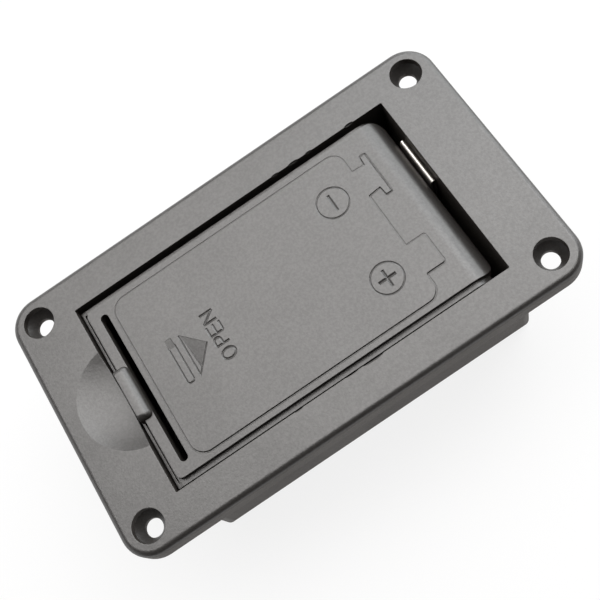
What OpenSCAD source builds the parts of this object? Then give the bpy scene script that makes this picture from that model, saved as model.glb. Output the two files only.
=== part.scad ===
// Flush-mount holder for a nine volt block battery.
// The origin is under the middle of the holder, on the plane of its flat bottom.
// X runs along the battery towards the hinge and the contacts, Y runs across, Z points out of the flange.

/* [Battery] */
// Length of the battery with its terminals
battery_l = 48.5; // [46:0.1:50]
// Width of the battery
battery_w = 26.5; // [25:0.1:28]
// Thickness of the battery
battery_h = 17.5; // [16:0.1:19]
// Height of the battery's terminals
terminal_h = 2.1; // [1.6:0.1:2.6]
// Distance between the middles of the terminals
terminal_pitch = 12.7; // [12:0.1:13]
// Clearance around the battery
bay_clearance = 0.3; // [0.1:0.05:0.4]

/* [Flange] */
// Width of the flange beyond each end of the opening
flange_rim_l = 10.2; // [9.4:0.1:14]
// Width of the flange beyond each side of the opening
flange_rim_w = 6.1; // [5.2:0.1:9]
// Thickness of the flange
flange_t = 3.2; // [2.8:0.1:4.5]
// Radius of the flange corners, seen from above
flange_corner_r = 4.7; // [3:0.1:6]
// Radius that rounds off the upper edge of the flange
flange_edge_r = 1; // [0.3:0.1:1.2]

/* [Screw holes] */
// Distance from the middle of each screw hole to the end of the flange
screw_inset_l = 4.5; // [4:0.05:5]
// Distance from the middle of each screw hole to the side of the flange
screw_inset_w = 4.35; // [4:0.05:5]
// Diameter of the screw holes
screw_d = 2.8; // [2.5:0.1:3.4]
// Diameter of the countersinks at the top
head_d = 5; // [4.6:0.1:6]
// Depth of the upright upper part of the countersinks
head_wall_h = 1.2; // [0.6:0.1:1.4]
// Depth of the countersinks
head_depth = 2.5; // [2:0.1:2.8]

/* [Housing body] */
// Gap between the cradle and the floor
floor_gap = 2.9; // [1:0.1:8]
// Gap between the cradle and the latch end wall, which lets the drawer swing out
swing_gap = 2.9; // [2.5:0.1:4]
// Gap between the cradle and each long wall
cradle_side_gap = 1.55; // [1.2:0.05:2.2]
// Radius in the corners of the opening
opening_corner_r = 0.2; // [0.1:0.1:2]
// Thickness of the long walls, which hold the hinge sockets
side_wall_t = 2.2; // [1.9:0.1:2.6]
// Thickness of the wall at the latch end
latch_wall_t = 1.3; // [1:0.1:1.8]
// Thickness of the wall at the hinge end, which carries the contacts
hinge_wall_t = 2.4; // [1.6:0.1:2.8]
// Thickness of the floor
floor_t = 1.5; // [1:0.1:2.2]
// Radius of the upright and lower edges of the body
body_edge_r = 2; // [0.5:0.1:3]

/* [Thumb dish] */
// Radius of the dish where it meets the top of the flange
dish_r = 8.5; // [6:0.1:9]
// Depth of the dish at its middle
dish_depth = 1.5; // [0.8:0.1:1.8]
// How far the middle of the dish lies inside the opening
dish_inset = 1.3; // [0:0.1:2]

/* [Lid] */
// How far the lid lies below the top of the flange
lid_recess = 0.3; // [0:0.1:0.6]
// Thickness of the lid
lid_t = 2.3; // [2:0.1:2.6]
// Gap between the lid and each side of the opening
lid_side_gap = 0.5; // [0.3:0.05:0.7]
// Gap between the lid and the latch end of the opening
lid_latch_gap = 0.3; // [0.2:0.05:0.5]
// Width of the low step around the lid
step_w = 0.8; // [0.4:0.1:1]
// Height of the step around the lid
step_h = 0.9; // [0.4:0.1:1.2]
// Radius of the raised panel's corners at the latch end, seen from above
panel_corner_r = 1; // [0.6:0.1:1.6]
// Radius of the raised panel's corners at the rolled end, seen from above
panel_end_r = 2.2; // [1:0.1:3]

/* [Hinge] */
// Radius of the rolled end of the lid, about the hinge axis
roll_r = 4; // [3.6:0.1:4.4]
// Gap between the rolled end and the hinge end of the opening
roll_gap = 1.3; // [1.3:0.1:1.8]
// Diameter of the hinge pins
pin_d = 2.8; // [2.2:0.1:3]
// Radial clearance of the hinge pins
pin_clearance = 0.05; // [0.02:0.01:0.1]
// How deep the hinge pins reach into the long walls
pin_reach = 1.3; // [0.8:0.1:1.5]
// Space left past the end of each hinge pin
socket_end_gap = 0.2; // [0.1:0.05:0.3]

/* [Latch] */
// Width of the slot that frees the latch tongue
slot_w = 1.3; // [1:0.1:1.6]
// Width of the lid left beyond each end of the slot
slot_end_w = 2.7; // [2:0.1:5]
// Width of the latch tongue between the slot and the edge of the lid
tongue_w = 2.4; // [2:0.1:2.6]
// Length of the grip on the tongue
grip_l = 8.8; // [6:0.1:12]
// Width of the grip
grip_w = 2.2; // [1.8:0.1:2.4]
// Height of the grip above the lid
grip_h = 1.15; // [0.8:0.05:1.4]
// Radius of the grip's upper edge towards the slot
grip_r = 1.1; // [0.8:0.05:1.3]
// Radius of the grip's upper edge towards the dish
grip_edge_r = 0.3; // [0.2:0.05:0.5]
// Radius at the ends of the grip
grip_end_r = 0.8; // [0.5:0.05:0.9]
// Width of the catch under the tongue
catch_w = 8; // [5:0.1:10]
// Thickness of the skirt that carries the catch
catch_skirt_t = 1.2; // [1:0.1:1.6]
// How far the catch reaches under the flange
catch_reach = 0.6; // [0.3:0.05:0.8]
// Height of the catch
catch_h = 1.8; // [1.4:0.1:2.4]
// Height of the flat tip of the catch
catch_tip_h = 0.45; // [0.2:0.05:0.8]
// Clearance of the catch in its window
catch_clearance = 0.2; // [0.1:0.05:0.4]
// Height of the wall left between the catch window and the flange
window_lintel_h = 0.6; // [0.4:0.1:1]

/* [Cradle] */
// Thickness of the cradle's walls
cradle_wall_t = 1.3; // [1:0.1:1.4]
// Thickness of the strap under the battery
strap_t = 1.2; // [0.8:0.1:1.4]
// Width of the strap under the battery
strap_w = 9; // [5:0.1:14]
// Distance from the strap to the hinge end of the cradle
strap_inset = 6; // [2:0.1:12]
// Radius of the finger cuts in the cradle's walls
finger_r = 9; // [5:0.1:11]
// Height of the cradle's wall at the latch end
end_wall_h = 10; // [8:0.1:14]
// Radius of the cradle's lower corner, which clears the opening as the drawer swings
cradle_corner_r = 5; // [3:0.1:7]
// Width of the lips that stop the battery at the hinge end
lip_w = 1.4; // [0.8:0.1:2]

/* [Contacts] */
// Thickness of the contact strip
contact_t = 0.3; // [0.2:0.05:0.4]
// Radius of the bend at the top of the negative contact, outside
contact_bend_r = 0.5; // [0.45:0.05:0.6]
// Width of the negative contact
negative_w = 8.4; // [6:0.1:9]
// Height of the negative contact's bend above the middle of the terminals
negative_rise = 8.6; // [7.5:0.1:9.5]
// Width of the positive contact
positive_w = 5.6; // [4:0.1:8]
// Height of the positive contact's free end above the middle of the terminals
positive_tip_h = 2.2; // [1.8:0.1:2.6]
// How far below the middle of the terminals the positive leaf leaves the wall
positive_root_h = 6; // [5:0.1:7]
// How far the positive contact's free end turns back from the terminal
positive_tip_back = 0.6; // [0.4:0.1:1]
// How far each spring leaf stands past the tip of the battery's terminals
contact_press = 0.5; // [0.2:0.1:0.8]
// Distance from the battery's tip to the contacts' wall
tip_gap = 3.2; // [2.6:0.1:3.6]
// Height of the flat on each leaf that touches the battery's terminal
leaf_flat_h = 2; // [1:0.1:2.4]
// Height of the shoulder of the negative leaf above the middle of the terminal
leaf_shoulder_h = 3.6; // [2.6:0.1:4]
// How far the free end of the negative leaf reaches below the middle of the terminal
leaf_tail_h = 4; // [3:0.1:5]
// Distance between the two legs of the negative contact at the leaf's free end
leaf_tail_gap = 1; // [0.6:0.1:1.4]
// Width of the solder lugs
lug_w = 4; // [3:0.1:5]
// How far the solder lugs stand out of the hinge end wall
lug_l = 4.5; // [3:0.1:6]
// Diameter of the hole in each solder lug
lug_hole_d = 1.5; // [1:0.1:2]
// Height of the solder lugs above the bottom
lug_z = 6; // [4:0.1:8]
// Clearance around each lug in its slot
lug_clearance = 0.1; // [0.05:0.05:0.2]

/* [Colours] */
// Colour of the moulded pieces
plastic_colour = [0.55, 0.55, 0.54];
// Colour of the contacts
metal_colour = [0.80, 0.79, 0.76];

/* [Hidden] */
$fn = 96;
eps = 0.01;
through = 1;

// Stack of sizes along, across and up, from the battery outwards
cradle_w = battery_w + 2 * bay_clearance + 2 * cradle_wall_t;
opening_l = swing_gap + cradle_wall_t + bay_clearance + battery_l + tip_gap;
opening_w = cradle_w + 2 * cradle_side_gap;
cradle_z = floor_t + floor_gap;
bay_z = cradle_z + strap_t;
lid_under_z = bay_z + battery_h + bay_clearance;
lid_z = lid_under_z + lid_t;
housing_h = lid_z + lid_recess;

// Flange and opening
flange_l = opening_l + 2 * flange_rim_l;
flange_w = opening_w + 2 * flange_rim_w;
flange_z = housing_h - flange_t;
screw_span_l = flange_l - 2 * screw_inset_l;
screw_span_w = flange_w - 2 * screw_inset_w;
latch_x = -opening_l / 2;
hinge_x = opening_l / 2;

// Body
body_w = opening_w + 2 * side_wall_t;
body_l = opening_l + latch_wall_t + hinge_wall_t;
body_mid_x = (hinge_wall_t - latch_wall_t) / 2;

// Thumb dish, a cap of a large ball
dish_ball_r = (dish_r * dish_r + dish_depth * dish_depth) / (2 * dish_depth);

// Hinge axis, concentric with the rolled end of the lid
pivot_x = hinge_x - roll_gap - roll_r;
pivot_z = lid_z - roll_r;
pin_tip_y = opening_w / 2 + pin_reach;

// Lid
step_x = latch_x + lid_latch_gap;
panel_x = step_x + step_w;
plate_w = opening_w - 2 * lid_side_gap;
panel_w = plate_w - 2 * step_w;
plate_z = lid_z - step_h;
slot_l = plate_w - 2 * slot_end_w;
slot_x = step_x + tongue_w + slot_w / 2;

// Battery bay
bay_w = battery_w + 2 * bay_clearance;
tip_x = hinge_x - tip_gap;
bay_x = tip_x - battery_l - bay_clearance;
bay_end_x = tip_x - terminal_h + bay_clearance;
cradle_x = bay_x - cradle_wall_t;
lip_end_x = bay_end_x + cradle_wall_t;

// Catch and its window
window_z = flange_z - window_lintel_h;
catch_z = window_z - catch_clearance;

// Roll
roll_in_r = roll_r - lid_t;
roll_low_z = pivot_z - roll_r;
roll_end_x = pivot_x + roll_r;

// Contacts
contact_x = hinge_x - contact_t / 2;
terminal_z = lid_under_z - bay_clearance / 2 - battery_h / 2;
front_x = hinge_x - 2 * contact_bend_r + contact_t / 2;
press_x = tip_x - contact_press + contact_t / 2;
lug_low_z = lug_z - contact_t / 2;

// Rectangle with round corners
module soft_rect(l, w, r) {
    square([l - 2 * r, w], center = true);
    square([l, w - 2 * r], center = true);
    for (sx = [-1, 1], sy = [-1, 1])
        translate([sx * (l / 2 - r), sy * (w / 2 - r)])
            circle(r = r);
}

// Half section of a plate from its middle outwards, round at its upper outer edge
module soft_edge(reach, t, edge) {
    square([reach - edge, t]);
    square([reach, t - edge]);
    translate([reach - edge, t - edge])
        circle(r = edge);
}

// Straight stretch of such a plate, between its corners
module soft_bar(l, w, t, edge) {
    rotate([90, 0, 0])
        linear_extrude(w, center = true) {
            soft_edge(l / 2, t, edge);
            mirror([1, 0])
                soft_edge(l / 2, t, edge);
        }
}

// Plate with round corners, round at its upper edge all the way
module soft_plate(l, w, t, corner, edge) {
    for (sx = [-1, 1], sy = [-1, 1])
        translate([sx * (l / 2 - corner), sy * (w / 2 - corner), 0])
            rotate_extrude()
                soft_edge(corner, t, edge);
    soft_bar(l, w - 2 * corner, t, edge);
    rotate([0, 0, 90])
        soft_bar(w, l - 2 * corner, t, edge);
}

// Upright outline with round lower corners
module tub_outline(w, h, r) {
    translate([-w / 2, r])
        square([w, h - r]);
    translate([-w / 2 + r, 0])
        square([w - 2 * r, h]);
    for (s = [-1, 1])
        translate([s * (w / 2 - r), r])
            circle(r = r);
}

// Box body below the flange: three outlines meet in it, so that all its outer edges are round
module body_block() {
    body_top = housing_h - flange_t / 2;
    translate([body_mid_x, 0, 0])
        intersection() {
            linear_extrude(body_top)
                soft_rect(body_l, body_w, body_edge_r);
            rotate([90, 0, 0])
                linear_extrude(body_w + through, center = true)
                    tub_outline(body_l, body_top, body_edge_r);
            rotate([90, 0, 90])
                linear_extrude(body_l + through, center = true)
                    tub_outline(body_w, body_top, body_edge_r);
        }
}

// Screw hole with its countersink, its top on the plane z = 0
module screw_hole() {
    translate([0, 0, -flange_t - through])
        cylinder(d = screw_d, h = flange_t + 2 * through);
    translate([0, 0, -head_depth])
        cylinder(d1 = screw_d, d2 = head_d, h = head_depth - head_wall_h);
    translate([0, 0, -head_wall_h])
        cylinder(d = head_d, h = head_wall_h + through);
}

// Slot in the hinge end wall that a solder lug passes through
module lug_slot(y) {
    translate([hinge_x - through, y - lug_w / 2 - lug_clearance, lug_low_z - lug_clearance])
        cube([hinge_wall_t + 2 * through, lug_w + 2 * lug_clearance, contact_t + 2 * lug_clearance]);
}

module housing() {
    color(plastic_colour)
        difference() {
            union() {
                translate([0, 0, flange_z])
                    soft_plate(flange_l, flange_w, flange_t, flange_corner_r, flange_edge_r);
                body_block();
            }
            translate([0, 0, floor_t])
                linear_extrude(housing_h)
                    soft_rect(opening_l, opening_w, opening_corner_r);
            for (sx = [-1, 1], sy = [-1, 1])
                translate([sx * screw_span_l / 2, sy * screw_span_w / 2, housing_h])
                    screw_hole();
            translate([latch_x + dish_inset, 0, housing_h + dish_ball_r - dish_depth])
                sphere(r = dish_ball_r);
            for (s = [-1, 1])
                translate([pivot_x, s * opening_w / 2, pivot_z])
                    rotate([90 * -s, 0, 0])
                        translate([0, 0, -eps])
                            cylinder(d = pin_d + 2 * pin_clearance, h = pin_reach + socket_end_gap + eps);
            catch_window();
            lug_slot(terminal_pitch / 2);
            lug_slot(-terminal_pitch / 2);
        }
}

// Window in the latch end wall that the catch snaps into
module catch_window() {
    window_w = catch_w + 2 * catch_clearance;
    window_h = catch_h + 2 * catch_clearance;
    translate([latch_x - latch_wall_t - through, -window_w / 2, window_z - window_h])
        cube([latch_wall_t + 2 * through, window_w, window_h]);
}

// Lid section along the holder: flat, then rolled down about the hinge axis
module lid_section(top_r, start_x, under_z) {
    translate([start_x, under_z])
        square([pivot_x - start_x, pivot_z + top_r - under_z]);
    translate([pivot_x, pivot_z])
        difference() {
            circle(r = top_r);
            circle(r = roll_in_r);
            translate([-2 * roll_r, -roll_r])
                square([2 * roll_r, 2 * roll_r]);
            translate([-eps, -2 * roll_r - pin_d / 2])
                square([2 * roll_r, 2 * roll_r]);
        }
}

// Raised panel over the low step, the full plate under it
module lid() {
    difference() {
        union() {
            rotate([90, 0, 0])
                linear_extrude(plate_w, center = true)
                    lid_section(roll_r - step_h, step_x, lid_under_z);
            panel();
        }
        slot();
    }
}

// Raised panel with round corners, with the roll at the hinge end
module panel() {
    half_l = (roll_end_x - panel_x) / 2;
    intersection() {
        rotate([90, 0, 0])
            linear_extrude(panel_w, center = true)
                lid_section(roll_r, panel_x, plate_z - eps);
        translate([0, 0, roll_low_z])
            linear_extrude(2 * roll_r + through) {
                translate([panel_x + half_l / 2 + panel_end_r, 0])
                    soft_rect(half_l + 2 * panel_end_r, panel_w, panel_corner_r);
                translate([roll_end_x - half_l / 2, 0])
                    soft_rect(half_l, panel_w, panel_end_r);
            }
    }
}

// Through slot with round ends, it frees the latch tongue
module slot() {
    translate([slot_x, 0, lid_under_z - through])
        linear_extrude(lid_t + 2 * through)
            soft_rect(slot_w, slot_l, slot_w / 2 - eps);
}

// Upright section with its two upper corners round
module crowned(w, h, left_r, right_r) {
    square([w, h - max(left_r, right_r)]);
    translate([left_r, 0])
        square([w - left_r - right_r, h]);
    translate([left_r, h - left_r])
        circle(r = left_r);
    square([left_r, h - left_r]);
    translate([w - right_r, h - right_r])
        circle(r = right_r);
}

// Grip on the tongue: upright towards the dish, round towards the slot and at its ends
module grip() {
    h = lid_z + grip_h - plate_z + eps;
    translate([step_x + tongue_w / 2, 0, plate_z - eps])
        intersection() {
            rotate([90, 0, 0])
                linear_extrude(grip_l, center = true)
                    translate([-grip_w / 2, 0])
                        crowned(grip_w, h, grip_edge_r, grip_r);
            rotate([90, 0, 90])
                linear_extrude(grip_w, center = true)
                    translate([-grip_l / 2, 0])
                        crowned(grip_l, h, grip_end_r, grip_end_r);
            linear_extrude(h)
                soft_rect(grip_w, grip_l, grip_end_r);
        }
}

// Skirt under the tongue with the catch that snaps under the flange
module catch() {
    skirt_h = lid_under_z - catch_z + catch_h;
    rotate([90, 0, 0])
        linear_extrude(catch_w, center = true) {
            translate([step_x, lid_under_z - skirt_h])
                square([catch_skirt_t, skirt_h + eps]);
            polygon([
                [step_x + eps, catch_z],
                [latch_x - catch_reach, catch_z],
                [latch_x - catch_reach, catch_z - catch_tip_h],
                [step_x + eps, catch_z - catch_h]
            ]);
        }
}

// Side of the cradle, with a round lower corner at the latch end
module cradle_side() {
    side_l = lip_end_x - cradle_x;
    side_h = lid_under_z - cradle_z + eps;
    difference() {
        union() {
            translate([cradle_x, cradle_z + cradle_corner_r])
                square([side_l, side_h - cradle_corner_r]);
            translate([cradle_x + cradle_corner_r, cradle_z])
                square([side_l - cradle_corner_r, side_h]);
            translate([cradle_x + cradle_corner_r, cradle_z + cradle_corner_r])
                circle(r = cradle_corner_r);
            translate([pivot_x, pivot_z])
                circle(r = roll_r - step_h);
        }
        translate([(bay_x + bay_end_x) / 2 - finger_r, cradle_z])
            circle(r = finger_r);
    }
}

// Cradle under the lid: two sides, an end wall, stop lips and the strap under the battery
module cradle() {
    for (s = [-1, 1]) {
        translate([0, s * (bay_w + cradle_wall_t) / 2, 0])
            rotate([90, 0, 0])
                linear_extrude(cradle_wall_t, center = true)
                    cradle_side();
        translate([bay_end_x, s * (bay_w - lip_w) / 2 - lip_w / 2, cradle_z])
            cube([cradle_wall_t, lip_w, roll_low_z - cradle_z]);
    }
    translate([cradle_x, -cradle_w / 2, cradle_z + cradle_corner_r])
        cube([cradle_wall_t, cradle_w, end_wall_h - cradle_corner_r]);
    translate([lip_end_x - strap_inset - strap_w, -cradle_w / 2, cradle_z])
        cube([strap_w, cradle_w, strap_t]);
}

// Hinge pins on the cradle's sides
module hinge_pins() {
    for (s = [-1, 1])
        translate([pivot_x, s * (bay_w / 2 + cradle_wall_t / 2), pivot_z])
            rotate([90 * -s, 0, 0])
                cylinder(d = pin_d, h = pin_tip_y - bay_w / 2 - cradle_wall_t / 2);
}

module drawer() {
    color(plastic_colour) {
        lid();
        grip();
        catch();
        cradle();
        hinge_pins();
    }
}

// Thick line through points, with round joints and square ends
module strip_line(points, t) {
    for (i = [0 : len(points) - 2]) {
        step = points[i + 1] - points[i];
        translate(points[i])
            rotate(atan2(step.y, step.x))
                translate([0, -t / 2])
                    square([norm(step), t]);
    }
    for (i = [1 : len(points) - 2])
        translate(points[i])
            circle(d = t);
}

// Solder lug that leads out through the wall, with its hole
module lug() {
    difference() {
        translate([hinge_x - contact_t, -lug_w / 2, lug_low_z])
            cube([contact_t + hinge_wall_t + lug_l, lug_w, contact_t]);
        translate([hinge_x + hinge_wall_t + lug_l - lug_hole_d, 0, lug_z - through])
            cylinder(d = lug_hole_d, h = 2 * through);
    }
}

// Folded spring: back leg on the wall, bend at the top, bowed front leg
module folded_spring(w) {
    bend_z = terminal_z + negative_rise - contact_bend_r;
    shoulder_z = min(bend_z - contact_t, terminal_z + leaf_shoulder_h);
    rotate([90, 0, 0])
        linear_extrude(w, center = true) {
            translate([hinge_x - contact_bend_r, bend_z])
                difference() {
                    circle(r = contact_bend_r);
                    circle(r = contact_bend_r - contact_t);
                    translate([-2 * contact_bend_r, -2 * contact_bend_r])
                        square([4 * contact_bend_r, 2 * contact_bend_r]);
                }
            translate([hinge_x - contact_t, lug_low_z])
                square([contact_t, bend_z - lug_low_z]);
            strip_line([
                [front_x, bend_z],
                [front_x, shoulder_z],
                [press_x, terminal_z + leaf_flat_h / 2],
                [press_x, terminal_z - leaf_flat_h / 2],
                [contact_x - leaf_tail_gap, terminal_z - leaf_tail_h]
            ], contact_t);
        }
}

// Leaning spring: leg on the wall, one leaf that leans out to the terminal, tip turned back
module leaning_spring(w) {
    rotate([90, 0, 0])
        linear_extrude(w, center = true)
            strip_line([
                [contact_x, lug_low_z],
                [contact_x, terminal_z - positive_root_h],
                [press_x, terminal_z - leaf_flat_h / 2],
                [press_x, terminal_z + leaf_flat_h / 2],
                [press_x + positive_tip_back, terminal_z + positive_tip_h]
            ], contact_t);
}

module negative_contact() {
    color(metal_colour)
        translate([0, terminal_pitch / 2, 0]) {
            folded_spring(negative_w);
            lug();
        }
}

module positive_contact() {
    color(metal_colour)
        translate([0, -terminal_pitch / 2, 0]) {
            leaning_spring(positive_w);
            lug();
        }
}

housing();
drawer();
negative_contact();
positive_contact();
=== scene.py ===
import math

import bmesh
import bpy
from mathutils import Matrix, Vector


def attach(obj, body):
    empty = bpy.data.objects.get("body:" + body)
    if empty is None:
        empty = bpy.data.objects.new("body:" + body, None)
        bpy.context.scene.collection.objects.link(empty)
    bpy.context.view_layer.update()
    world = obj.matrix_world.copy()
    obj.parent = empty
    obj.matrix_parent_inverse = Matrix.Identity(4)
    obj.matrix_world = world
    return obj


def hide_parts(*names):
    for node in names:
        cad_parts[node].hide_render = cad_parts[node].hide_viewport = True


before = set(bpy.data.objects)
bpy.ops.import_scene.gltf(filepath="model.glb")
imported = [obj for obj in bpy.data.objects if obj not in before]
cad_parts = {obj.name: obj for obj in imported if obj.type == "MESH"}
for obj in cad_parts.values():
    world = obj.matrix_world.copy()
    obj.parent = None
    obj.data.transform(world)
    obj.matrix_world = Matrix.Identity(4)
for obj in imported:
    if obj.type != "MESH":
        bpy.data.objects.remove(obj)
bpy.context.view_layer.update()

# All sizes are in millimetres until MM turns them into metres.
MM = 0.001

# Heights of the lid's panel and of the flange, as in the part's source
LID_Z = 25.7
FLANGE_Z = 26.0

# Battery picture on the lid: a raised field with a soft edge, rooted a little in the lid,
# and a shallow line round its foot
FIELD_X = (-23.05, 18.3)
FIELD_Y = (-14.0, 13.85)
FIELD_RISE = 0.2
FIELD_SOFT = 0.05
FIELD_ROOT = 0.05
LATCH_CORNER_R = 2.4
END_CORNER_R = 2.0
SMALL_R = 0.3
POSITIVE_TERMINAL = [(18.3, -10.25), (21.5, -10.25), (21.5, -5.0), (18.3, -5.0)]
NEGATIVE_TERMINAL = [(18.3, 4.8), (20.35, 5.05), (20.5, 3.45), (21.52, 3.45),
                     (21.52, 11.0), (20.6, 11.0), (20.45, 9.4), (18.3, 9.55)]
LINE_W = 0.2
LINE_DEPTH = 0.05

# The negative terminal's tip slopes down, clear of the spring contact when the drawer is open;
# a line marks it
TIP_X = (18.6, 21.6)
TIP_Y = (3.3, 11.15)
TIP_DROP = 0.17
TIP_LINE = NEGATIVE_TERMINAL[1:7]
TIP_LINE_W = 0.22
TIP_LINE_DEPTH = 0.12

# Circles with the polarity signs in them
MINUS_AT = (13.35, 7.12)
PLUS_AT = (13.42, -7.55)
SIGN_R = 2.5
SIGN_LINE_W = 0.32
SIGN_LINE_DEPTH = 0.1
SIGN_BAR_L = 2.9
SIGN_BAR_W = 0.54
SIGN_BAR_DEPTH = 0.19

# Arrow towards the hinge: the open outlines of a bar and a triangle, each with a ramp
# that comes up to the surface on its +Y side
ARROW_W = 0.28
ARROW_DEPTH = 0.13
BAR_OUTLINE = [(-18.75, 2.6), (-18.8, -3.6), (-18.6, -3.95), (-17.9, -3.95), (-17.7, -3.6), (-17.65, 2.6)]
BAR_RAMP = [(-18.8, 2.2), (-17.65, 2.2), (-17.7, 3.8), (-18.75, 3.8)]
BAR_RAMP_DEPTHS = [0.3, 0.3, 0.02, 0.02]
TRIANGLE_OUTLINE = [(-16.55, 3.3), (-16.6, -3.75), (-13.35, 0.0)]
TRIANGLE_RAMP = [(-16.4, 3.3), (-15.95, -2.7), (-13.5, 0.15)]
TRIANGLE_RAMP_DEPTHS = [0.03, 0.62, 0.03]

# The word OPEN reads along +Y, its letters stand towards -X
WORD_FOOT_X = -10.35
WORD_STARTS = {"O": -4.2, "P": -1.65, "E": 0.2, "N": 2.35}
LETTER_H = 2.15
STROKE_W = 0.42
STROKE_DEPTH = 0.135
O_HALF = 0.82
P_STRAIGHT = 0.75
P_BOWL_R = 0.56
E_ARM = 1.6
N_W = 1.6

# Ledge at the lid's latch end, sloping a little to the gap, with a groove at its inner side
LEDGE_X = (-27.85, -27.0)
LEDGE_HALF_W = 17
LEDGE_DROPS = (1.0, 0.92)
LEDGE_GROOVE_X = (-27.42, -27.0)
LEDGE_GROOVE_HALF_W = 15.2
LEDGE_GROOVE_DROP = 1.5

# Grip on the latch tongue, upright towards the dish, its round flank ends at the slot
GRIP_FOOT_Z = 24
GRIP_X = (-27.7, -25.42)
GRIP_Y = (-4.75, 4.25)
GRIP_H = 1.15
GRIP_FLANK = 1.5
GRIP_END_R = 0.92
GRIP_EDGE_R = 0.24
GRIP_CORNER_R = 0.7

# Space that is cleared of the plain grip of the CAD part first
CLEARED_X = (GRIP_X[0] - 0.05, GRIP_X[1])
CLEARED_Y = (-5, 5)
CLEARED_H = 2

# Small nicks in both long edges of the opening: place along X and Y, length, width, depth
NICKS = [(8.7, 16.4, 1.3, 0.16, 0.3), (12.0, 16.4, 1.8, 0.2, 0.35), (14.8, 16.4, 1.1, 0.16, 0.3),
         (22.2, 16.4, 1.6, 0.24, 0.35), (5.2, -16.4, 3.4, 0.24, 0.3), (1.6, -16.4, 2.0, 0.12, 0.2),
         (-7.4, -16.4, 1.4, 0.14, 0.2)]
NICK_ROUNDNESS = 3

# Thumb dish of the housing: its middle and its radius at the top, as in the part's source,
# and how far off its rim a point may lie along the radius and in height
DISH_X = -26.8
DISH_R = 8.5
RIM_PLAY_R = 0.02
RIM_PLAY_Z = 0.01

# Faces this level with each other count as one; edges this steep stay sharp, and so does the dish's rim
LEVEL = math.cos(math.radians(0.4))
TRUE_EDGE = math.radians(30)

# Points this near in metres are welded, in a CAD mesh and in a cut one; faces this flat are joined
CAD_WELD = 1e-7
WELD = 1e-6
SAME_PLANE = math.radians(0.3)

# Steps in a rounded corner and in a circle; how far a cutting tool stands out of the surface it cuts;
# the smallest share that a mitre at a path's corner is worked out with
CURVE_STEPS = 10
CIRCLE_STEPS = 72
OVERSHOOT = 0.3
MITRE_LIMIT = 0.4

# Plastic: base colours of its uneven grey and of its rubbed edges, and the painted warm reflection that tints
# the sheen of its sides
PLASTIC_DARK = (0.0265, 0.0243, 0.0226)
PLASTIC_LIGHT = (0.0335, 0.031, 0.0291)
PLASTIC_RUBBED = (0.06, 0.057, 0.054)
SPECK_SHADE = (0.92, 1.08)
SIDE_PAINTED_REFLECTION_TINT = (1.0, 0.86, 0.76)
PLASTIC_IOR = 1.8

# Plastic: roughness over the range of the cloud noise, sheen over that of the specks, and how much
# rougher and duller its sides are
PLASTIC_ROUGH = (0.35, 0.4)
ROUGH_RANGE = (0.3, 0.7)
PLASTIC_SHEEN = (0.467, 0.533)
SIDE_ROUGHER = 0.2
SIDE_DULLER = 0.22

# Plastic: radius of its softened edges, how its grain stands out, how near the softened normal is to
# the true one where an edge begins to look rubbed and where it wholly does, and the same for upright faces
SOFT_EDGE_R = 0.12
SOFT_EDGE_SAMPLES = 6
GRAIN_STRENGTH = 0.3
GRAIN_HEIGHT = 0.06
RUBBED_RANGE = (0.97, 0.8)
UPRIGHT_RANGE = (0.5, 0.1)

# Nickel: bright and stained colour, roughness, and how its rolling lines stand out
NICKEL_BRIGHT = (0.74, 0.72, 0.68)
NICKEL_STAINED = (0.57, 0.54, 0.5)
NICKEL_ROUGH = (0.32, 0.46)
ROLL_STRETCH = (300, 6000, 300)
ROLL_STRENGTH = 0.15
ROLL_HEIGHT = 0.02

# Noises as scale and detail, and the middle range of their values
CLOUD = (90, 3)
GRAIN = (3600, 2)
SPECK = (2600, 2)
STAIN = (400, 3)
ROLL = (1, 2)
NOISE_RANGE = (0.35, 0.65)

# Floor: half its size in metres, how far it lies under the object, its matte colour and roughness,
# and the share of white in it where it is seen, over a range of metres from the middle
FLOOR_HALF = 3
FLOOR_DROP = 0.05
FLOOR_COLOUR = (0.86, 0.86, 0.86, 1)
FLOOR_ROUGH = 0.9
FLOOR_WHITE = (0.85, 0.99)
FLOOR_RANGE = (0.03, 0.14)

# Room: its dim light, and a backdrop that fades out with height and towards the near side
ROOM_LIGHT = 0.02
BACKDROP_LIGHT = 1.2
BACKDROP_HEIGHTS = (0.6, 0.3)
BACKDROP_SIDES = (-0.45, 0)

# The two lamps: place in metres, size, power and colour; both are aimed at one point
KEY_LAMP = {"place": (0.074, 0.125, 0.494), "size": (0.74, 0.38), "power": 3.25, "colour": (1, 0.98, 0.965)}
SIDE_LAMP = {"place": (0.333, 0.241, 0.305), "size": (0.48, 0.48), "power": 1.95, "colour": (0.95, 0.98, 1)}
LAMP_AIM = (0, 0, 0.02)

# Camera: place and nearest sight in metres, turn in degrees, lens and sensor
CAMERA_PLACE = (0.00332, -0.05683, 0.1607)
CAMERA_TURN = (17.961, 12.666, -31.954)
CAMERA_NEAR = 0.01
CAMERA_LENS = 60.21
CAMERA_SENSOR = 36


# Outlines

def rounded(points, radii):
    """Closed outline through the points, each corner cut by an arc of its own radius."""
    out = []
    n = len(points)
    for i, p in enumerate(points):
        here = Vector(p)
        back = (Vector(points[i - 1]) - here).normalized()
        on = (Vector(points[(i + 1) % n]) - here).normalized()
        half = back.angle(on) / 2
        reach = radii[i] / math.tan(half)
        centre = here + (back + on).normalized() * radii[i] / math.sin(half)
        start, end = here + back * reach - centre, here + on * reach - centre
        turn = start.angle_signed(end)
        for k in range(CURVE_STEPS + 1):
            a = -turn * k / CURVE_STEPS
            c, s = math.cos(a), math.sin(a)
            out.append((centre.x + start.x * c - start.y * s, centre.y + start.x * s + start.y * c))
    return out


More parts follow.
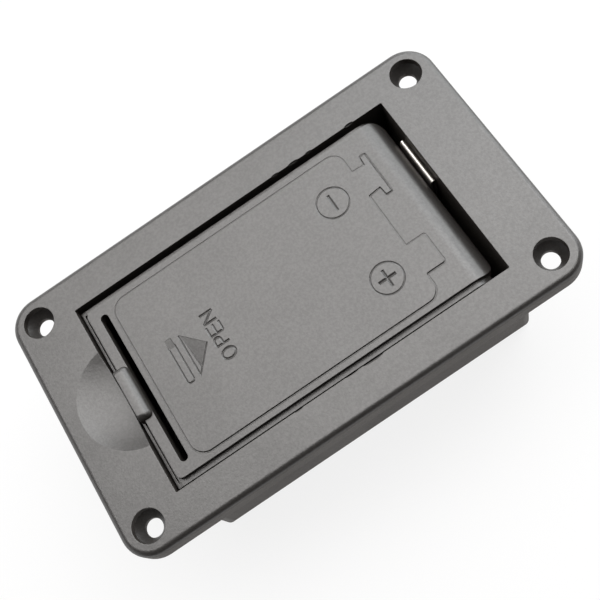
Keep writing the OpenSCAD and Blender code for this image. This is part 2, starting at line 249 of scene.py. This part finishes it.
def shifted(outline, by):
    """The outline moved outwards by a small distance, corner by corner."""
    out = []
    n = len(outline)
    for i in range(n):
        a, b = Vector(outline[i - 1]), Vector(outline[(i + 1) % n])
        side = (b - a).normalized()
        out.append((outline[i][0] + side.y * by, outline[i][1] - side.x * by))
    return out


def circle(centre, r):
    turns = [2 * math.pi * k / CIRCLE_STEPS for k in range(CIRCLE_STEPS)]
    return [(centre[0] + r * math.cos(a), centre[1] + r * math.sin(a)) for a in turns]


def rectangle(x, y):
    return [(x[0], y[0]), (x[1], y[0]), (x[1], y[1]), (x[0], y[1])]


def battery_outline():
    """Battery case with its two terminals, one outline, counter-clockwise."""
    x0, x1 = FIELD_X
    y0, y1 = FIELD_Y
    points = [(x0, y0), (x1, y0), *POSITIVE_TERMINAL, *NEGATIVE_TERMINAL, (x1, y1), (x0, y1)]
    ends = [SMALL_R] * (len(POSITIVE_TERMINAL) + len(NEGATIVE_TERMINAL))
    return rounded(points, [LATCH_CORNER_R, END_CORNER_R, *ends, END_CORNER_R, LATCH_CORNER_R])


# Solids

def new_object(name, bm):
    mesh = bpy.data.meshes.new(name)
    bmesh.ops.recalc_face_normals(bm, faces=bm.faces)
    bm.to_mesh(mesh)
    bm.free()
    obj = bpy.data.objects.new(name, mesh)
    bpy.context.scene.collection.objects.link(obj)
    return obj


def ring(bm, points):
    return [bm.verts.new((x * MM, y * MM, z * MM)) for x, y, z in points]


def rings_at(bm, levels):
    """One ring of vertices for each (outline, z)."""
    return [ring(bm, [(x, y, z) for x, y in outline]) for outline, z in levels]


def band(bm, a, b):
    """Faces between two rings with the same number of points."""
    n = len(a)
    for i in range(n):
        j = (i + 1) % n
        bm.faces.new((a[i], a[j], b[j], b[i]))


def stack(name, levels):
    """Closed solid through outlines with the same number of points, given as (outline, z)."""
    bm = bmesh.new()
    rings = rings_at(bm, levels)
    for low, high in zip(rings, rings[1:]):
        band(bm, low, high)
    bm.faces.new(rings[0])
    bm.faces.new(rings[-1])
    return new_object(name, bm)


def plate(name, outline, low, high):
    return stack(name, [(outline, low), (outline, high)])


def ring_solid(name, inner, outer, low, high):
    """Closed band between two outlines, from z = low to z = high."""
    bm = bmesh.new()
    rings = rings_at(bm, [(inner, low), (outer, low), (outer, high), (inner, high)])
    for a, b in zip(rings, rings[1:] + rings[:1]):
        band(bm, a, b)
    return new_object(name, bm)


def wedge(name, corners, depths, top):
    """Upright walls on a plan outline, with a floor at its own depth below each corner."""
    bm = bmesh.new()
    upper = ring(bm, [(x, y, top + OVERSHOOT) for x, y in corners])
    lower = ring(bm, [(x, y, top - depth) for (x, y), depth in zip(corners, depths)])
    band(bm, upper, lower)
    bm.faces.new(upper)
    bm.faces.new(lower)
    return new_object(name, bm)


def sides_of(path, closed):
    """For each point of a path the direction across it, long enough to mitre its corner."""
    n = len(path)
    out = []
    for i, p in enumerate(path):
        back = Vector(p) - Vector(path[i - 1]) if closed or i else None
        on = Vector(path[(i + 1) % n]) - Vector(p) if closed or i < n - 1 else None
        ways = [d.normalized() for d in (back, on) if d]
        middle = sum(ways, Vector((0, 0))).normalized()
        across = Vector((middle.y, -middle.x))
        out.append(across / max(MITRE_LIMIT, middle.dot(ways[0])))
    return out


def groove(name, path, closed, width, depth, top):
    """Solid that cuts a V-shaped stroke along a path."""
    bm = bmesh.new()
    section = [(-0.5, OVERSHOOT), (-0.5, 0), (0, -depth), (0.5, 0), (0.5, OVERSHOOT)]
    rings = []
    for p, side in zip(path, sides_of(path, closed)):
        spots = [(Vector(p) + side * width * a, top + z) for a, z in section]
        rings.append(ring(bm, [(at.x, at.y, z) for at, z in spots]))
    following = rings[1:] + rings[:1] if closed else rings[1:]
    for a, b in zip(rings, following):
        band(bm, a, b)
    if not closed:
        bm.faces.new(rings[0])
        bm.faces.new(rings[-1])
    return new_object(name, bm)


def apply_modifiers(obj):
    graph = bpy.context.evaluated_depsgraph_get()
    mesh = bpy.data.meshes.new_from_object(obj.evaluated_get(graph))
    obj.modifiers.clear()
    obj.data = mesh


def combine(obj, tool, how):
    """Boolean of the tool on the object, applied at once; the tool is removed."""
    mod = obj.modifiers.new(how, "BOOLEAN")
    mod.operation = how
    mod.solver = "EXACT"
    mod.object = tool
    apply_modifiers(obj)
    bpy.data.objects.remove(tool)


def cut(obj, tool):
    combine(obj, tool, "DIFFERENCE")


def flat_patches(bm):
    """For each face the first face of its flat patch, and the area of that patch."""
    found = {}
    for first in bm.faces:
        if first in found:
            continue
        patch, todo = {first}, [first]
        while todo:
            for edge in todo.pop().edges:
                near = [f for f in edge.link_faces if f not in patch and f not in found]
                level = [f for f in near if f.normal.dot(first.normal) > LEVEL]
                patch.update(level)
                todo.extend(level)
        # fsum gives the same sum in any order of the set, here and below
        area = math.fsum(f.calc_area() for f in patch)
        found.update((f, (first, area)) for f in patch)
    return found


def on_dish_rim(edge):
    away = [math.hypot(v.co.x / MM - DISH_X, v.co.y / MM) for v in edge.verts]
    high = all(v.co.z / MM > FLANGE_Z - RIM_PLAY_Z for v in edge.verts)
    return high and all(abs(r - DISH_R) < RIM_PLAY_R for r in away)


def corner_normal(loop, patches, rim):
    """Mean of the patches met round a corner without crossing a true edge or the rim, by their area."""
    seen, todo = {loop.face}, [loop.face]
    while todo:
        for edge in todo.pop().edges:
            meets = loop.vert in edge.verts and edge not in rim
            if meets and edge.calc_face_angle(math.pi) < TRUE_EDGE:
                near = [f for f in edge.link_faces if f not in seen]
                seen.update(near)
                todo.extend(near)
    met = {patches[f] for f in seen}
    total = [math.fsum(first.normal[axis] * area for first, area in met) for axis in range(3)]
    return Vector(total).normalized()


def finish_mesh(obj):
    """Welds the seams and shades smooth: true edges stay sharp, flat faces stay flat."""
    bm = bmesh.new()
    bm.from_mesh(obj.data)
    bmesh.ops.remove_doubles(bm, verts=bm.verts, dist=WELD)
    bmesh.ops.dissolve_degenerate(bm, edges=bm.edges, dist=WELD)
    bmesh.ops.dissolve_limit(bm, angle_limit=SAME_PLANE, verts=bm.verts, edges=bm.edges)
    bmesh.ops.triangulate(bm, faces=bm.faces)
    bm.normal_update()
    patches = flat_patches(bm)
    rim = {edge for edge in bm.edges if on_dish_rim(edge)}
    normals = [corner_normal(loop, patches, rim) for face in bm.faces for loop in face.loops]
    bm.to_mesh(obj.data)
    bm.free()
    obj.data.shade_smooth()
    obj.data.normals_split_custom_set(normals)


def stand_in_for(node, body):
    """Welded copy of a CAD node that takes its place in the picture."""
    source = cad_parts[node]
    bm = bmesh.new()
    bm.from_mesh(source.data)
    bmesh.ops.remove_doubles(bm, verts=bm.verts, dist=CAD_WELD)
    obj = new_object(node + "_finished", bm)
    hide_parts(node)
    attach(obj, body)
    return obj


# Marks on the lid

def letter(name):
    """Strokes of one capital letter as (path, closed), its foot at y = 0, its left side at x = 0."""
    h = LETTER_H
    if name == "O":
        return [([(O_HALF * (1 + x), h / 2 * (1 + y)) for x, y in circle((0, 0), 1)], True)]
    if name == "P":
        turns = [math.pi * k / CURVE_STEPS for k in range(CURVE_STEPS + 1)]
        bowl = [(P_STRAIGHT + P_BOWL_R * math.sin(a), h - P_BOWL_R * (1 - math.cos(a))) for a in turns]
        return [([(0, 0), (0, h)], False), ([(0, h), *bowl, (0, h - 2 * P_BOWL_R)], False)]
    if name == "E":
        arms = [([(0, y), (E_ARM, y)], False) for y in (0, h / 2, h)]
        return [([(0, 0), (0, h)], False), *arms]
    return [([(0, 0), (0, h)], False), ([(N_W, 0), (N_W, h)], False), ([(0, h), (N_W, 0)], False)]


def engrave_word(lid, top):
    """Each letter turned so that the word reads along +Y."""
    for name, start in WORD_STARTS.items():
        for path, closed in letter(name):
            laid = [(WORD_FOOT_X - y, start + x) for x, y in path]
            cut(lid, groove("stroke", laid, closed, STROKE_W, STROKE_DEPTH, top))


def engrave_sign(lid, centre, top, ways):
    """Fine circle with the bars of its sign, each along one of the given directions."""
    cut(lid, groove("circle", circle(centre, SIGN_R), True, SIGN_LINE_W, SIGN_LINE_DEPTH, top))
    for way in ways:
        half = Vector(way) * SIGN_BAR_L / 2
        ends = [Vector(centre) - half, Vector(centre) + half]
        cut(lid, groove("bar", ends, False, SIGN_BAR_W, SIGN_BAR_DEPTH, top))


def engrave_arrow(lid, top):
    for outline in (BAR_OUTLINE, TRIANGLE_OUTLINE):
        cut(lid, groove("line", outline, False, ARROW_W, ARROW_DEPTH, top))
    cut(lid, wedge("ramp", BAR_RAMP, BAR_RAMP_DEPTHS, top))
    cut(lid, wedge("ramp", TRIANGLE_RAMP, TRIANGLE_RAMP_DEPTHS, top))


def shape_ledge(lid):
    low, high = LEDGE_DROPS
    plan = rectangle(LEDGE_X, (-LEDGE_HALF_W, LEDGE_HALF_W))
    cut(lid, wedge("slope", plan, [low, high, high, low], LID_Z))
    plan = rectangle(LEDGE_GROOVE_X, (-LEDGE_GROOVE_HALF_W, LEDGE_GROOVE_HALF_W))
    cut(lid, plate("groove", plan, LID_Z - LEDGE_GROOVE_DROP, LID_Z))


def grip_outline(inset):
    """Plan of the grip at one level, drawn in by a share of each side's rounding."""
    x = (GRIP_X[0] + GRIP_EDGE_R * inset, GRIP_X[1] - GRIP_FLANK * inset)
    y = (GRIP_Y[0] + GRIP_END_R * inset, GRIP_Y[1] - GRIP_END_R * inset)
    inner, outer = GRIP_EDGE_R, GRIP_CORNER_R * (1 - inset) + GRIP_EDGE_R * inset
    return rounded(rectangle(x, y), [inner, outer, outer, inner])


def finished_grip(lid):
    """Grip with one long round flank down to the slot, in place of the plain one."""
    cut(lid, plate("over", rectangle(CLEARED_X, CLEARED_Y), LID_Z, LID_Z + CLEARED_H))
    levels = [(grip_outline(0), GRIP_FOOT_Z), (grip_outline(0), LID_Z)]
    for k in range(1, CURVE_STEPS + 1):
        turn = math.pi / 2 * k / CURVE_STEPS
        levels.append((grip_outline(1 - math.cos(turn)), LID_Z + GRIP_H * math.sin(turn)))
    combine(lid, stack("grip", levels), "UNION")


def raise_field(lid, top):
    """Battery picture, its foot line and the sloping tip of its negative terminal."""
    outline = battery_outline()
    outer = shifted(outline, LINE_W)
    cut(lid, ring_solid("line", outline, outer, LID_Z - LINE_DEPTH, LID_Z + OVERSHOOT))
    upper = shifted(outline, -FIELD_SOFT)
    levels = [(outline, LID_Z - FIELD_ROOT), (outline, top - FIELD_SOFT), (upper, top)]
    combine(lid, stack("field", levels), "UNION")
    cut(lid, wedge("tip", rectangle(TIP_X, TIP_Y), [0, TIP_DROP, TIP_DROP, 0], top))
    cut(lid, groove("line", TIP_LINE, False, TIP_LINE_W, TIP_LINE_DEPTH, LID_Z))


def finished_drawer():
    """Drawer with the raised battery picture and the marks in it."""
    drawer = stand_in_for("drawer", "drawer")
    top = LID_Z + FIELD_RISE
    raise_field(drawer, top)
    engrave_sign(drawer, MINUS_AT, top, [(0, 1)])
    engrave_sign(drawer, PLUS_AT, top, [(0, 1), (1, 0)])
    engrave_arrow(drawer, top)
    engrave_word(drawer, top)
    shape_ledge(drawer)
    finished_grip(drawer)
    finish_mesh(drawer)
    return drawer


# Housing

def nick(x, y, length, width, depth):
    """Long round solid that cuts one nick into the top edge of the opening."""
    bm = bmesh.new()
    bmesh.ops.create_icosphere(bm, subdivisions=NICK_ROUNDNESS, radius=1)
    for v in bm.verts:
        v.co = Vector((x + v.co.x * length / 2, y + v.co.y * width, FLANGE_Z + v.co.z * depth)) * MM
    return new_object("nick", bm)


def finished_housing():
    """Housing with the small nicks that the edges of the opening have."""
    housing = stand_in_for("housing", "housing")
    for place in NICKS:
        cut(housing, nick(*place))
    finish_mesh(housing)
    return housing


# Nodes of materials

def add(nodes, kind, **values):
    """New node with some properties or inputs set; an underscore stands for a space in an input's name."""
    node = nodes.new(kind)
    for name, value in values.items():
        if hasattr(node, name):
            setattr(node, name, value)
        else:
            node.inputs[name.replace("_", " ")].default_value = value
    return node


def noise(nodes, link, place, scale, detail):
    """Noise at a place given by another node."""
    out = add(nodes, "ShaderNodeTexNoise", Scale=scale, Detail=detail)
    link(place, out.inputs["Vector"])
    return out.outputs["Fac"]


def mapped(nodes, link, value, to, within=NOISE_RANGE):
    """The range within, unless given a noise's middle one, laid over the range to."""
    out = add(nodes, "ShaderNodeMapRange", From_Min=within[0], From_Max=within[1], To_Min=to[0], To_Max=to[1])
    link(value, out.inputs["Value"])
    return out.outputs["Result"]


def blend(nodes, link, share, first, second):
    """Colour between two, each a plain colour or an output of another node."""
    out = add(nodes, "ShaderNodeMix", data_type="RGBA")
    link(share, out.inputs["Factor"])
    for name, colour in (("A", first), ("B", second)):
        if isinstance(colour, tuple):
            out.inputs[name].default_value = (*colour, 1)
        else:
            link(colour, out.inputs[name])
    return out.outputs["Result"]


def mixed(nodes, link, share, first, second):
    """Shader between two."""
    out = add(nodes, "ShaderNodeMixShader")
    link(share, out.inputs["Fac"])
    link(first, out.inputs[1])
    link(second, out.inputs[2])
    return out.outputs["Shader"]


def worked_out(nodes, link, how, first, second):
    """One arithmetic node on an output and an output or a number."""
    out = add(nodes, "ShaderNodeMath", operation=how)
    link(first, out.inputs[0])
    if isinstance(second, (int, float)):
        out.inputs[1].default_value = second
    else:
        link(second, out.inputs[1])
    return out.outputs["Value"]


def bumped(nodes, link, height, strength, distance):
    """Bump node over the height of a noise, its distance in millimetres."""
    out = add(nodes, "ShaderNodeBump", Strength=strength, Distance=distance * MM)
    link(height, out.inputs["Height"])
    return out


def rubbed_edges(nodes, link, soft):
    """1 where the softened normal leaves the true one, as along edges, 0 on plain faces."""
    flat = add(nodes, "ShaderNodeVectorMath", operation="DOT_PRODUCT")
    link(soft.outputs["Normal"], flat.inputs[0])
    link(add(nodes, "ShaderNodeNewGeometry").outputs["Normal"], flat.inputs[1])
    return mapped(nodes, link, flat.outputs["Value"], (0, 1), RUBBED_RANGE)


def upright_faces(nodes, link):
    """1 on upright faces, 0 on level ones."""
    way = add(nodes, "ShaderNodeSeparateXYZ")
    link(add(nodes, "ShaderNodeTexCoord").outputs["Normal"], way.inputs["Vector"])
    return mapped(nodes, link, way.outputs["Z"], (0, 1), UPRIGHT_RANGE)


def seen_directly(nodes, link):
    """1 for camera, mirror and glass rays, 0 for the rays that carry light."""
    path = add(nodes, "ShaderNodeLightPath").outputs
    mirrored = worked_out(nodes, link, "MAXIMUM", path["Is Camera Ray"], path["Is Glossy Ray"])
    return worked_out(nodes, link, "MAXIMUM", mirrored, path["Is Transmission Ray"])


# Materials

def new_material(name):
    """Material with its nodes, the call that links them, and its main shader."""
    mat = bpy.data.materials.new(name)
    mat.use_nodes = True
    nodes = mat.node_tree.nodes
    return mat, nodes, mat.node_tree.links.new, nodes["Principled BSDF"]


def plastic():
    """Dark grey moulded plastic: fine eroded grain, uneven sheen, edges a little rubbed, sides matter and
    tinted with a painted warm reflection.
    """
    mat, nodes, link, bsdf = new_material("moulded_plastic")
    bsdf.inputs["IOR"].default_value = PLASTIC_IOR
    place = add(nodes, "ShaderNodeTexCoord").outputs["Object"]
    cloud = noise(nodes, link, place, *CLOUD)
    grain = noise(nodes, link, place, *GRAIN)
    speck = noise(nodes, link, place, *SPECK)
    soft = add(nodes, "ShaderNodeBevel", samples=SOFT_EDGE_SAMPLES, Radius=SOFT_EDGE_R * MM)
    steep = upright_faces(nodes, link)

    shade = add(nodes, "ShaderNodeVectorMath", operation="SCALE")
    link(blend(nodes, link, cloud, PLASTIC_DARK, PLASTIC_LIGHT), shade.inputs[0])
    link(mapped(nodes, link, speck, SPECK_SHADE), shade.inputs["Scale"])
    worn = blend(nodes, link, rubbed_edges(nodes, link, soft), shade.outputs["Vector"], PLASTIC_RUBBED)
    link(worn, bsdf.inputs["Base Color"])

    rough = mapped(nodes, link, cloud, PLASTIC_ROUGH, ROUGH_RANGE)
    rougher = worked_out(nodes, link, "MULTIPLY", steep, SIDE_ROUGHER)
    link(worked_out(nodes, link, "ADD", rough, rougher), bsdf.inputs["Roughness"])
    sheen = mapped(nodes, link, speck, PLASTIC_SHEEN)
    duller = worked_out(nodes, link, "MULTIPLY", steep, SIDE_DULLER)
    link(worked_out(nodes, link, "SUBTRACT", sheen, duller), bsdf.inputs["Specular IOR Level"])
    # Painted reflection: the sheen of upright faces is tinted warm, standing in for a warm surface that they
    # would mirror
    link(blend(nodes, link, steep, (1.0, 1.0, 1.0), SIDE_PAINTED_REFLECTION_TINT), bsdf.inputs["Specular Tint"])

    bump = bumped(nodes, link, grain, GRAIN_STRENGTH, GRAIN_HEIGHT)
    link(soft.outputs["Normal"], bump.inputs["Normal"])
    link(bump.outputs["Normal"], bsdf.inputs["Normal"])
    return mat


def nickel():
    """Bright nickel-plated strip with rolling lines and a little staining."""
    mat, nodes, link, bsdf = new_material("nickel_strip")
    bsdf.inputs["Metallic"].default_value = 1
    place = add(nodes, "ShaderNodeTexCoord").outputs["Object"]
    stretch = add(nodes, "ShaderNodeMapping", Scale=ROLL_STRETCH)
    link(place, stretch.inputs["Vector"])
    lines = noise(nodes, link, stretch.outputs["Vector"], *ROLL)
    stain = noise(nodes, link, place, *STAIN)
    link(blend(nodes, link, stain, NICKEL_BRIGHT, NICKEL_STAINED), bsdf.inputs["Base Color"])
    link(mapped(nodes, link, lines, NICKEL_ROUGH), bsdf.inputs["Roughness"])
    bump = bumped(nodes, link, lines, ROLL_STRENGTH, ROLL_HEIGHT)
    link(bump.outputs["Normal"], bsdf.inputs["Normal"])
    return mat


def dress(obj, mat):
    obj.data.materials.clear()
    obj.data.materials.append(mat)


# Stage

def floor():
    """Pale floor: matte to the light, lifted towards white where it is seen, clear from underneath."""
    bm = bmesh.new()
    bmesh.ops.create_grid(bm, x_segments=1, y_segments=1, size=FLOOR_HALF)
    obj = new_object("floor", bm)
    obj.location.z = -FLOOR_DROP * MM
    mat, nodes, link, matte = new_material("pale_floor")
    matte.inputs["Base Color"].default_value = FLOOR_COLOUR
    matte.inputs["Roughness"].default_value = FLOOR_ROUGH
    white = add(nodes, "ShaderNodeEmission", Strength=1)
    away = add(nodes, "ShaderNodeVectorMath", operation="LENGTH")
    link(add(nodes, "ShaderNodeTexCoord").outputs["Object"], away.inputs[0])
    share = mapped(nodes, link, away.outputs["Value"], FLOOR_WHITE, FLOOR_RANGE)
    lift = worked_out(nodes, link, "MULTIPLY", seen_directly(nodes, link), share)
    lifted = mixed(nodes, link, lift, matte.outputs["BSDF"], white.outputs["Emission"])
    under = add(nodes, "ShaderNodeNewGeometry").outputs["Backfacing"]
    clear = add(nodes, "ShaderNodeBsdfTransparent").outputs["BSDF"]
    link(mixed(nodes, link, under, lifted, clear), nodes["Material Output"].inputs["Surface"])
    dress(obj, mat)


def surroundings():
    """Dim room with a pale backdrop at the far side and both ends; the camera sees it one pale grey."""
    world = bpy.data.worlds.new("room")
    bpy.context.scene.world = world
    world.use_nodes = True
    nodes, link = world.node_tree.nodes, world.node_tree.links.new
    dim = nodes["Background"]
    dim.inputs["Color"].default_value = (1, 1, 1, 1)
    way = add(nodes, "ShaderNodeSeparateXYZ")
    link(add(nodes, "ShaderNodeTexCoord").outputs["Generated"], way.inputs["Vector"])
    low = mapped(nodes, link, way.outputs["Z"], (0, 1), BACKDROP_HEIGHTS)
    behind = mapped(nodes, link, way.outputs["Y"], (0, BACKDROP_LIGHT), BACKDROP_SIDES)
    backdrop = worked_out(nodes, link, "MULTIPLY", low, behind)
    link(worked_out(nodes, link, "ADD", backdrop, ROOM_LIGHT), dim.inputs["Strength"])
    pale = add(nodes, "ShaderNodeBackground", Strength=1)
    to_camera = add(nodes, "ShaderNodeLightPath").outputs["Is Camera Ray"]
    room = mixed(nodes, link, to_camera, dim.outputs["Background"], pale.outputs["Background"])
    link(room, nodes["World Output"].inputs["Surface"])


def lamp(name, place, size, power, colour):
    """Soft light aimed at the middle of the object."""
    light = bpy.data.lights.new(name, "AREA")
    light.shape = "RECTANGLE"
    light.size, light.size_y = size
    light.energy = power
    light.color = colour
    obj = bpy.data.objects.new(name, light)
    obj.location = place
    aim = Vector(LAMP_AIM) - Vector(place)
    obj.rotation_euler = aim.to_track_quat("-Z", "Y").to_euler()
    bpy.context.scene.collection.objects.link(obj)


def camera():
    """Camera at the photograph's place; the object is seen from above, over its near long side."""
    data = bpy.data.cameras.new("camera")
    data.sensor_width = CAMERA_SENSOR
    data.lens = CAMERA_LENS
    data.clip_start = CAMERA_NEAR
    obj = bpy.data.objects.new("camera", data)
    obj.location = CAMERA_PLACE
    obj.rotation_euler = [math.radians(a) for a in CAMERA_TURN]
    bpy.context.scene.collection.objects.link(obj)
    bpy.context.scene.camera = obj


def main():
    camera()
    grey, metal = plastic(), nickel()
    dress(finished_drawer(), grey)
    dress(finished_housing(), grey)
    for node in ("negative_contact", "positive_contact"):
        dress(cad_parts[node], metal)
    floor()
    surroundings()
    lamp("key", **KEY_LAMP)
    lamp("side", **SIDE_LAMP)
    bpy.context.scene.view_settings.view_transform = "Standard"


main()
